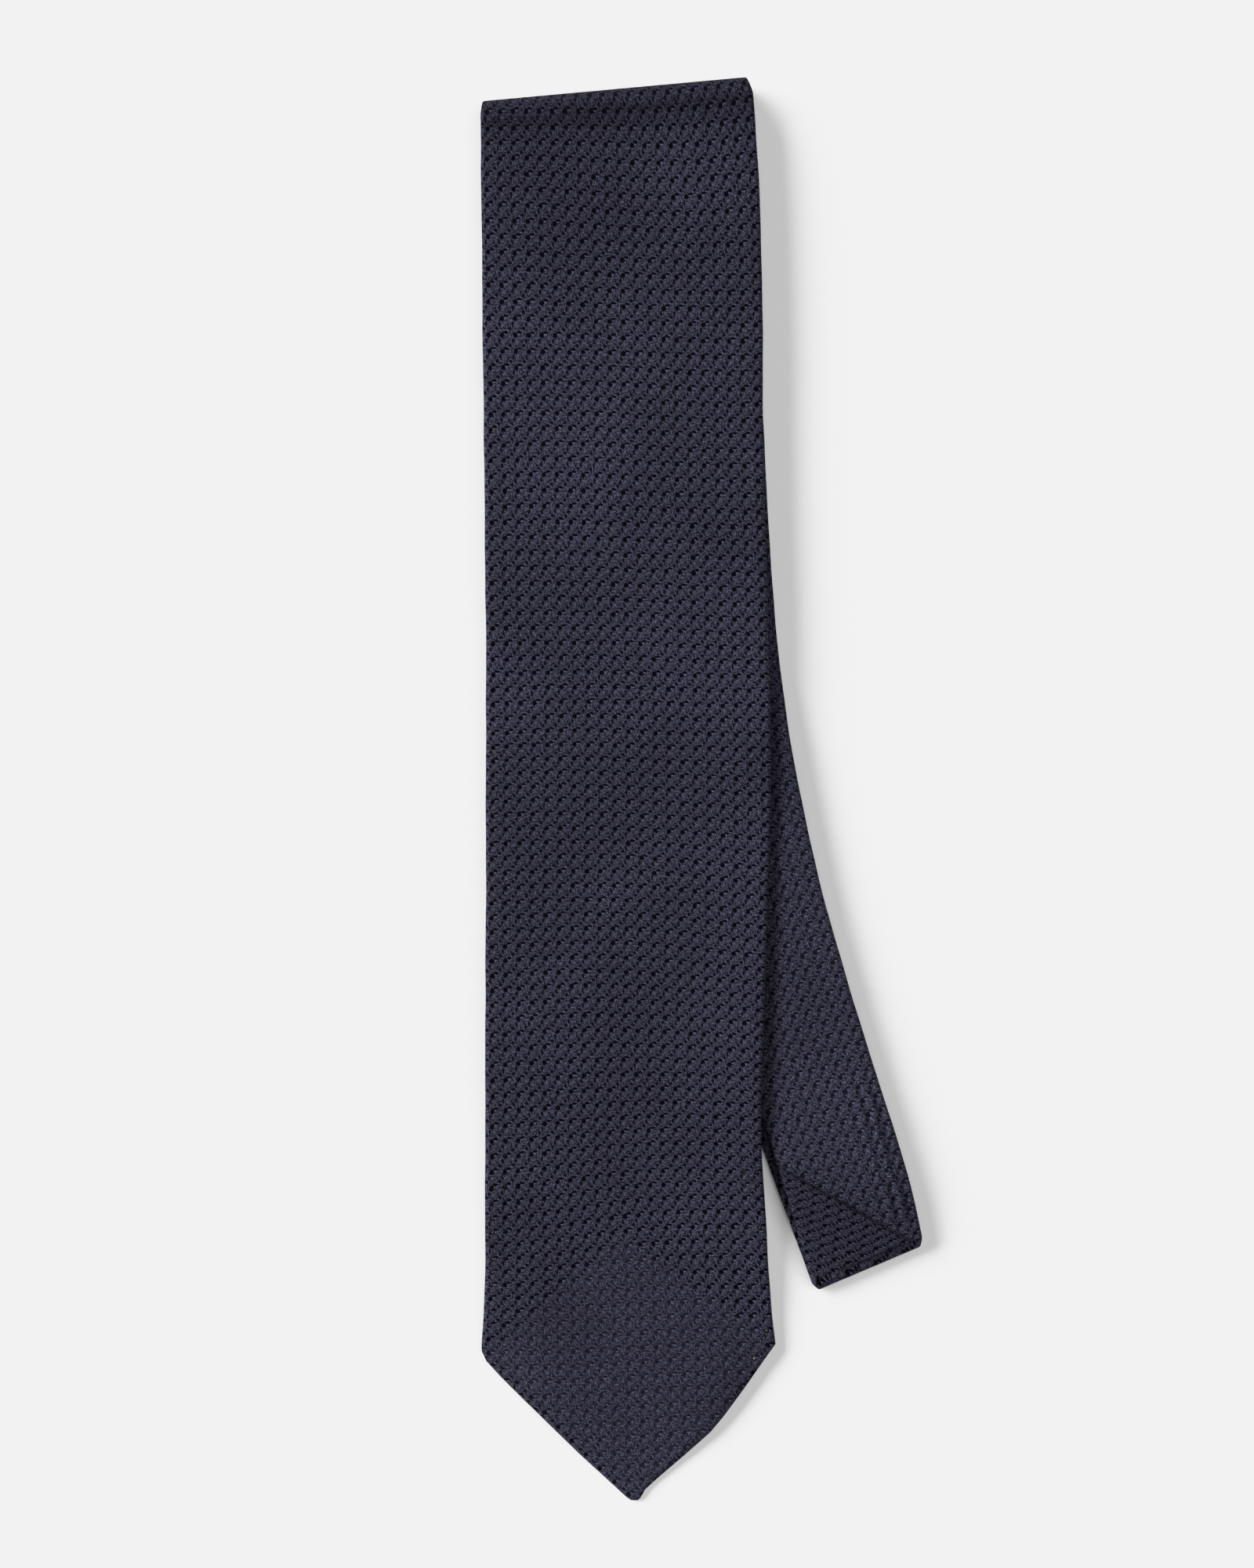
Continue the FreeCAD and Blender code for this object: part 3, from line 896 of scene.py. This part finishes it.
def even_rows(first, last, step, count):
    """Straight rows of an inner layer."""
    s = np.linspace(first, last, max(2, int((last - first) / step)))
    return np.broadcast_to(s[:, None], (len(s), count))


def tip_rows(run, t, first, step, inset):
    """Rows of an inner layer into a pointed end, stopping short of its edges."""
    end = run.tip_end(t) - inset * math.sqrt(2)
    count = int((run.length - first) / step)
    r = np.linspace(0, 1, count)[:, None]
    start = np.full(len(t), float(first))
    return start[None, :] + r * (end - start)[None, :]


def interlinings():
    """Wool inside the front blade, the top fold, and the rest of the tie."""
    t = np.linspace(-1, 1, 25) * 0.975
    phi = np.broadcast_to(np.linspace(0, math.pi, 17)[:, None], (17, len(t)))
    rows = tip_rows(FRONT, t, INNER_GAP, 3.0, 2.5)
    layer("interlining_front_wool", [(FRONT, rows)], t, WOOL_LOW, WOOL_HIGH)
    layer("interlining_fold_wool", [(TOP_FOLD, phi)], t, WOOL_LOW, WOOL_HIGH)
    t = t * 0.985
    spans = [
        (UPPER, even_rows(INNER_GAP, UPPER.length, 3.0, len(t))),
        (NECK_FOLD, phi[1:]),
        (NECK, even_rows(0, NECK.length, 3.0, len(t))[1:]),
        (TAIL_FOLD, phi[1:]),
        (TAIL, tip_rows(TAIL, t, 0, 3.0, 2.5)[1:]),
    ]
    layer("interlining_back_wool", spans, t, WOOL_LOW, WOOL_HIGH)


def down_to(run, y):
    """How far along a pointed run its middle line reaches a height y."""
    s = np.linspace(0, run.length, 1200)
    return float(np.interp(-y, -run.centre(s)[1], s))


def tipping(name, run, opening):
    """Lining behind a pointed end."""
    t = np.linspace(-1, 1, 41) * 0.95
    first = down_to(run, opening["top"] + LINING_ABOVE)
    return layer(name, [(run, tip_rows(run, t, first, 2.0, 2.2))], t, LINING_LOW, LINING_HIGH)


def tube(name, points, radius, sides=6):
    """Thread along a line of points."""
    p = np.asarray(points, float)
    ahead = np.gradient(p, axis=0)
    ahead /= np.maximum(np.linalg.norm(ahead, axis=1, keepdims=True), 1e-9)
    side = np.cross(ahead, [0.0, 0.0, 1.0])
    weak = np.linalg.norm(side, axis=1) < 0.05
    side[weak] = np.cross(ahead[weak], [1.0, 0.0, 0.0])
    side /= np.linalg.norm(side, axis=1, keepdims=True)
    up = np.cross(side, ahead)
    turn = np.linspace(0, 2 * math.pi, sides, endpoint=False)
    ring = side[:, None] * np.cos(turn)[None, :, None] + up[:, None] * np.sin(turn)[None, :, None]
    mesh_points = (p[:, None] + ring * radius).reshape(-1, 3)
    index = np.arange(len(p) * sides).reshape(len(p), sides)
    index = np.concatenate([index, index[:, :1]], 1)
    faces = faces_between(index).reshape(-1, 4).tolist()
    faces += [list(range(sides)), [int(k) for k in index[-1, :sides][::-1]]]
    return make_mesh(name, mesh_points, faces)


def stitch_line(where, first, last):
    """Slip stitches crossing the slit from flap to flap, over one stretch of the back seam."""
    on_run = isinstance(where, Run)
    length = (last - first) * (1 if on_run else where["radius"])
    count = max(3, int(length / STITCH) * 6 + 1)
    s = np.linspace(first, last, count)
    swing = np.sin(np.arange(count) * math.pi / 3)
    t = 0.45 * swing / (where.half(s) if on_run else where["width"] / 2)
    return put(where, s, t, -LAYER / 2 + 0.02 + 0.22 * np.abs(swing))


def slip_stitches():
    """Slip stitch of the centre back in three lengths. The front one ends in a spare loop."""
    front = stitch_line(FRONT, INNER_GAP, down_to(FRONT, FRONT_OPENING["top"] + 1.5))
    x, y, z = front[-1]
    r = SPARE_RADIUS
    turn = np.linspace(math.pi / 2, 2.5 * math.pi, 40)
    loop = [(x, y - 1.6, z + 0.05), (x, y - 4.0, z + 0.1)]
    loop += [(x + r * math.cos(a), y - 6.0 - r + r * math.sin(a), z + 0.15) for a in turn]
    fold = stitch_line(TOP_FOLD, 0, math.pi)
    back = [
        stitch_line(UPPER, INNER_GAP, UPPER.length),
        stitch_line(NECK_FOLD, 0.2, math.pi),
        stitch_line(NECK, 0.4, NECK.length),
        stitch_line(TAIL_FOLD, 0.2, math.pi),
        stitch_line(TAIL, 0.4, down_to(TAIL, TAIL_OPENING["top"] + 1.5)),
    ]
    tube("slip_thread_front", np.concatenate([front, loop]), SLIP_THREAD)
    tube("slip_thread_fold", fold, SLIP_THREAD)
    tube("slip_thread_back", np.concatenate(back), SLIP_THREAD)


def bar_tack(name, run, opening):
    """Satin-stitched bar across the slit, just above the spread part of the seam."""
    s = down_to(run, opening["top"] + 2.2)
    half = float(run.half(s))
    along = np.linspace(-0.6, 0.6, 12)
    points = []
    for n, step in enumerate(along):
        ends = (-1, 1) if n % 2 else (1, -1)
        for k in np.linspace(ends[0], ends[1], 9):
            lift = 0.10 + 0.16 * (1 - k ** 4)
            points.append(run.place(s + step, k * 2.5 / half, -LAYER / 2 - lift))
    return tube(name, points, TACK_THREAD)


def join_seam(name, cut):
    """Stitches sunk in the groove of a bias join, round the neck strip."""
    t = np.linspace(-0.985, 0.985, 91)
    s = join_line(NECK, cut, t)
    wave = np.sin(np.arange(len(t)) * math.pi / 2)
    face = NECK.place(s + 0.12 * wave, t, 0.58 + 0.06 * wave)
    back = NECK.place(s[::-1], t[::-1], -0.85 + 0 * s)
    return tube(name, np.concatenate([face, back]), JOIN_THREAD)


def keeper_band():
    """Band of the same cloth behind the front blade, its ends turned in and sewn down."""
    w, h = KEEPER["span"] / 2, KEEPER["width"] / 2
    end = np.linspace(w - 3, w, 7)
    x = np.concatenate([-end[::-1], np.linspace(-w + 3.4, w - 3.4, 60), end])
    lift = smooth((w - np.abs(x)) / 4.0)
    centre = FRONT.z - KEEPER["gap"] - KEEPER["stands"] * lift
    y = np.array([-1, -0.97, -0.9, -0.5, 0, 0.5, 0.9, 0.97, 1]) * h
    thick = KEEPER["half_thick"] * np.sqrt(np.clip(1 - np.abs(y / h) ** 6, 0, 1))
    xx, yy = np.meshgrid(x, y, indexing="ij")
    ripple = 0.03 * np.cos(2 * math.pi * xx / PITCH_X) * np.cos(2 * math.pi * yy / PITCH_Y)
    zc = np.broadcast_to(centre[:, None], xx.shape)
    upper = np.stack([KEEPER["x"] + xx, KEEPER["y"] + yy, zc + thick], -1)
    lower = np.stack([KEEPER["x"] + xx, KEEPER["y"] + yy, zc - thick + ripple * (thick > 0.1)], -1)
    rows, cols = xx.shape
    a = np.arange(rows * cols).reshape(rows, cols)
    b = a + rows * cols
    b[:, 0], b[:, -1] = a[:, 0], a[:, -1]
    faces = two_sides(a, b)
    for row in (0, -1):
        for j in range(cols - 1):
            quad = [int(a[row, j]), int(b[row, j]), int(b[row, j + 1]), int(a[row, j + 1])]
            quad = list(dict.fromkeys(quad))
            faces.append(quad if row == 0 else quad[::-1])
    points = np.concatenate([upper.reshape(-1, 3), lower.reshape(-1, 3)])
    used = sorted({k for f in faces for k in f})
    renumber = {k: n for n, k in enumerate(used)}
    faces = [[renumber[k] for k in f] for f in faces]
    u = np.tile((xx / PITCH_X).ravel(), 2)[used]
    v = np.tile((yy / PITCH_Y).ravel(), 2)[used]
    return make_mesh("keeper_band", points[used], faces, u, v)


def linear(r, g, b):
    """Screen colour (0 to 255) under this light as the linear colour that a shader takes."""
    value = [c / 255 for c in (r, g, b)]
    plain = [c / 12.92 if c <= 0.04045 else ((c + 0.055) / 1.055) ** 2.4 for c in value]
    return tuple(c * LIGHT_TO_COLOUR for c in plain) + (1.0,)


class Shader:
    """A material's node tree, built up socket by socket."""

    def __init__(self, name):
        self.material = bpy.data.materials.new(name)
        self.material.use_nodes = True
        self.tree = self.material.node_tree
        self.surface = self.tree.nodes["Principled BSDF"]
        self.place = self.node("TexCoord").outputs["Object"]

    def node(self, kind, **settings):
        made = self.tree.nodes.new("ShaderNode" + kind)
        for key, value in settings.items():
            setattr(made, key, value)
        return made

    def wire(self, value, socket):
        if isinstance(value, bpy.types.NodeSocket):
            self.tree.links.new(value, socket)
        elif value is not None:
            socket.default_value = value

    def math(self, operation, a, b=None, c=None):
        made = self.node("Math", operation=operation)
        for value, socket in zip((a, b, c), made.inputs):
            self.wire(value, socket)
        return made.outputs[0]

    def vector(self, operation, a, b=None, out=0):
        made = self.node("VectorMath", operation=operation)
        for value, socket in zip((a, b), made.inputs):
            self.wire(value, socket)
        return made.outputs[out]

    def noise(self, where, scale, detail=2.0, rough=0.5):
        made = self.node("TexNoise")
        self.wire(where, made.inputs["Vector"])
        made.inputs["Scale"].default_value = scale
        made.inputs["Detail"].default_value = detail
        made.inputs["Roughness"].default_value = rough
        return made.outputs

    def bands(self, scale, distortion=0.0):
        """Fine diagonal bands across the surface."""
        made = self.node("TexWave", wave_type="BANDS", bands_direction="DIAGONAL")
        self.wire(self.place, made.inputs["Vector"])
        made.inputs["Scale"].default_value = scale
        made.inputs["Distortion"].default_value = distortion
        return made.outputs["Fac"]

    def stored(self, name):
        """Number that write_marks has stored on the mesh."""
        return self.node("Attribute", attribute_name=name).outputs["Fac"]

    def span(self, value, low, high, to_low=0.0, to_high=1.0):
        made = self.node("MapRange", interpolation_type="SMOOTHSTEP")
        for v, socket in zip((value, low, high, to_low, to_high), made.inputs):
            self.wire(v, socket)
        return made.outputs[0]

    def mix(self, share, a, b, blend="MIX"):
        made = self.node("Mix", data_type="RGBA", blend_type=blend)
        self.wire(share, made.inputs[0])
        self.wire(a, made.inputs[6])
        self.wire(b, made.inputs[7])
        return made.outputs[2]

    def bump(self, height, distance):
        made = self.node("Bump")
        self.wire(height, made.inputs["Height"])
        made.inputs["Distance"].default_value = distance
        made.inputs["Strength"].default_value = 1.0
        self.wire(made.outputs[0], self.surface.inputs["Normal"])

    def finish(self, colour, **sockets):
        self.wire(colour, self.surface.inputs["Base Color"])
        for key, value in sockets.items():
            self.wire(value, self.surface.inputs[key.replace("_", " ")])
        return self.material


def mark_mask(shader, where, mark, soft):
    """One mark of the weave, repeated over the cloth: 0 outside it, its depth inside."""
    x, y, rx, ry, depth = mark
    shifted = shader.vector("FRACTION", shader.vector("SUBTRACT", where, (x - 0.5, y - 0.5, 0.0)))
    centred = shader.vector("SUBTRACT", shifted, (0.5, 0.5, 0.0))
    away = shader.vector("LENGTH", shader.vector("DIVIDE", centred, (rx, ry, 1.0)), out=1)
    return shader.span(away, 1 + soft, 1 - soft, 0.0, depth)


def strongest(shader, where, marks, soft):
    """The deepest of several marks at every place."""
    deepest = mark_mask(shader, where, marks[0], soft)
    for mark in marks[1:]:
        deepest = shader.math("MAXIMUM", deepest, mark_mask(shader, where, mark, soft))
    return deepest


def grenadine():
    """Open gauze weave of dark blue silk with holes in diagonal lines."""
    shader = Shader("grenadine")
    weave = shader.node("UVMap", uv_map="Weave").outputs[0]
    stray = shader.vector("SUBTRACT", shader.noise(weave, 1.7, 3.0)[1], (0.5, 0.5, 0.5))
    stray = shader.vector("MULTIPLY", stray, (0.20, 0.20, 0.0))
    where = shader.vector("ADD", weave, stray)
    weaker = shader.math("MULTIPLY_ADD", shader.stored("Double"), -0.32, 1.0)
    holes = shader.math("MULTIPLY", strongest(shader, where, MARKS, 0.22), weaker)
    # Painted highlights on the yarn beside the marks, added to its lit share
    painted_highlights = strongest(shader, where, HIGHLIGHT_PATCHES, 0.6)
    yarn = shader.noise(weave, 8.5, 2.0, 0.75)[0]
    light = shader.math("MULTIPLY_ADD", painted_highlights, 0.14, yarn)
    light = shader.span(light, 0.37, 0.74)
    cloudy = shader.span(shader.noise(shader.place, 28.0, 2.0)[0], 0.3, 0.7, 0.86, 1.10)
    colour = shader.mix(light, linear(*YARN_DARK), linear(*YARN_LIGHT))
    colour = shader.mix(holes, colour, linear(*HOLE_AND_SHADE))
    tint = shader.node("CombineColor")
    for socket in tint.inputs[:3]:
        shader.wire(cloudy, socket)
    colour = shader.mix(1.0, colour, tint.outputs[0], "MULTIPLY")
    # Painted light: pale spots in a few holes along the blade's edges
    pins = mark_mask(shader, where, PIN_MARK, 0.5)
    pins = shader.math("MULTIPLY", pins, shader.span(shader.noise(shader.place, 160.0, 0.0)[0], 0.45, 0.51))
    pins = shader.math("MULTIPLY", pins, shader.stored("Pins"))
    colour = shader.mix(pins, colour, linear(*PIN_LIGHT))
    # Painted shade: darker towards the top fold, partly for its stretched weave, and along each bias join's
    # groove
    for name, darker in (("StretchAndFoldShade", 0.45), ("Seam", 0.8)):
        share = shader.math("MULTIPLY", shader.stored(name), darker)
        colour = shader.mix(share, colour, linear(*HOLE_AND_SHADE))
    height = shader.math("SUBTRACT", light, holes)
    fine = shader.noise(weave, 26.0, 1.0)[0]
    shader.bump(shader.math("MULTIPLY_ADD", fine, 0.25, height), 0.00022)
    return shader.finish(colour, Roughness=0.75, Specular_IOR_Level=0.03, Sheen_Weight=0.0)


def wool():
    """Pressed white-grey wool of the interlining."""
    shader = Shader("wool")
    fibres = shader.noise(shader.place, 900.0, 4.0, 0.7)[0]
    clouds = shader.noise(shader.place, 60.0, 3.0)[0]
    share = shader.math("MULTIPLY_ADD", fibres, 0.6, shader.math("MULTIPLY", clouds, 0.4))
    colour = shader.mix(shader.span(share, 0.3, 0.7), linear(*WOOL_DARK), linear(*WOOL_LIGHT))
    shader.bump(fibres, 0.0002)
    return shader.finish(colour, Roughness=0.95, Specular_IOR_Level=0.1, Sheen_Weight=0.3)


def satin():
    """Smooth dark twill of the lining, with fine diagonal ribs."""
    shader = Shader("satin")
    ribs = shader.bands(420.0, 0.6)
    clouds = shader.noise(shader.place, 90.0, 2.0)[0]
    share = shader.math("MULTIPLY_ADD", ribs, 0.35, shader.math("MULTIPLY", clouds, 0.65))
    colour = shader.mix(share, linear(*SATIN_DARK), linear(*SATIN_LIGHT))
    shader.bump(ribs, 0.00006)
    return shader.finish(colour, Roughness=0.38, Specular_IOR_Level=0.45)


def sewing_thread():
    """Twisted dark thread."""
    shader = Shader("thread")
    twist = shader.bands(1400.0)
    colour = shader.mix(twist, linear(*THREAD_DARK), linear(*THREAD_LIGHT))
    shader.bump(twist, 0.00005)
    return shader.finish(colour, Roughness=0.5, Specular_IOR_Level=0.4)


def paper():
    """Even pale ground under the tie."""
    shader = Shader("pale_ground")
    grain = shader.noise(shader.place, 300.0, 2.0)[0]
    dark, light = (FLOOR_TONE * 0.997,) * 3 + (1.0,), (FLOOR_TONE * 1.003,) * 3 + (1.0,)
    colour = shader.mix(grain, dark, light)
    return shader.finish(colour, Roughness=1.0, Specular_IOR_Level=0.0)


def mark_double(obj):
    """Marks where the hem lies double behind the face, which fills the weave's holes."""
    mesh = obj.data
    co = np.empty(len(mesh.vertices) * 3)
    mesh.vertices.foreach_get("co", co)
    x, y = co.reshape(-1, 3)[:, 0] / MM, co.reshape(-1, 3)[:, 1] / MM
    mid, wide = FRONT_STATIONS[-1][0], FRONT_STATIONS[-1][2] / 2 - HEM_INSET
    corners = [HEM_TOP, (mid + wide, -158.0), FRONT_CORNER, FRONT_TIP, (mid - wide, -162.0)]
    bx, by = nearest_on(x, y, corners)
    away = np.hypot(x - bx, y - by) * np.where(inside(x, y, corners), 1, -1)
    write_marks(obj, "Double", smooth(away / HEM_BORDER + 0.5))


def make_tie():
    """Every piece of the tie, with its material, the body it moves with and its node."""
    mark_double(front_cloth())
    fold_cloth()
    back_cloth()
    neck_cloth()
    tail_cloth()
    keeper_band()
    interlinings()
    tipping("blade_lining", FRONT, FRONT_OPENING)
    tipping("tail_lining", TAIL, TAIL_OPENING)
    slip_stitches()
    bar_tack("blade_bar_tack", FRONT, FRONT_OPENING)
    bar_tack("tail_bar_tack", TAIL, TAIL_OPENING)
    join_seam("blade_join_stitches", BLADE_JOIN)
    join_seam("tail_join_stitches", TAIL_JOIN)
    materials = {
        "grenadine_silk": grenadine(),
        "wool_interlining": wool(),
        "lining": satin(),
        "sewing_thread": sewing_thread(),
    }
    for name, node, slot, body in PIECES:
        obj = bpy.data.objects[name]
        obj.data.materials.append(materials[slot])
        if body == "both":
            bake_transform(obj)
        else:
            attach(obj, body)
        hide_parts(node)


def make_floor():
    mesh = bpy.data.meshes.new("ground")
    r = FLOOR_HALF
    mesh.from_pydata([(-r, -r, 0), (r, -r, 0), (r, r, 0), (-r, r, 0)], [], [(0, 1, 2, 3)])
    floor = add_object("ground", mesh)
    mesh.materials.append(paper())


def add_sun(name, azimuth, elevation, share, spread):
    """Soft sun giving the floor its share of the light. Azimuth is counted from +X towards +Y."""
    (cos_a, sin_a), (cos_e, sin_e) = cos_sin(azimuth), cos_sin(elevation)
    data = bpy.data.lights.new(name, "SUN")
    data.energy = FLOOR_LIGHT * share / sin_e
    data.angle = math.radians(spread)
    sun = add_object(name, data)
    towards = Vector((cos_a * cos_e, sin_a * cos_e, sin_e))
    sun.rotation_mode = "QUATERNION"
    sun.rotation_quaternion = towards.to_track_quat("Z", "Y")
    sun.location = towards * 2.0


def make_lights():
    for light in SUNS:
        add_sun(**light)
    world = bpy.data.worlds.new("studio")
    world.use_nodes = True
    background = world.node_tree.nodes["Background"]
    background.inputs["Color"].default_value = (1.0, 1.0, 1.0, 1.0)
    background.inputs["Strength"].default_value = FLOOR_LIGHT * WORLD_SHARE / math.pi
    bpy.context.scene.world = world


def make_camera():
    data = bpy.data.cameras.new("camera")
    data.sensor_fit = "VERTICAL"
    data.sensor_height = SENSOR_HEIGHT
    data.lens = LENS
    camera = add_object("camera", data)
    distance = VIEW_HEIGHT * LENS / SENSOR_HEIGHT
    camera.location = (VIEW_X * MM, VIEW_Y * MM, (VIEW_LEVEL + distance) * MM)
    bpy.context.scene.camera = camera


def set_view():
    """Plain colours up to a mid tone, then a soft shoulder up to the floor's white."""
    view = bpy.context.scene.view_settings
    view.view_transform = "Standard"
    view.use_curve_mapping = True
    mapping = view.curve_mapping
    mapping.clip_max_x = TONE_CURVE[-1][0]
    curve = mapping.curves[3]
    curve.points[0].location = TONE_CURVE[0]
    curve.points[1].location = TONE_CURVE[-1]
    for x, y in TONE_CURVE[1:-1]:
        curve.points.new(x, y)
    mapping.update()


make_tie()
make_floor()
make_lights()
make_camera()
set_view()
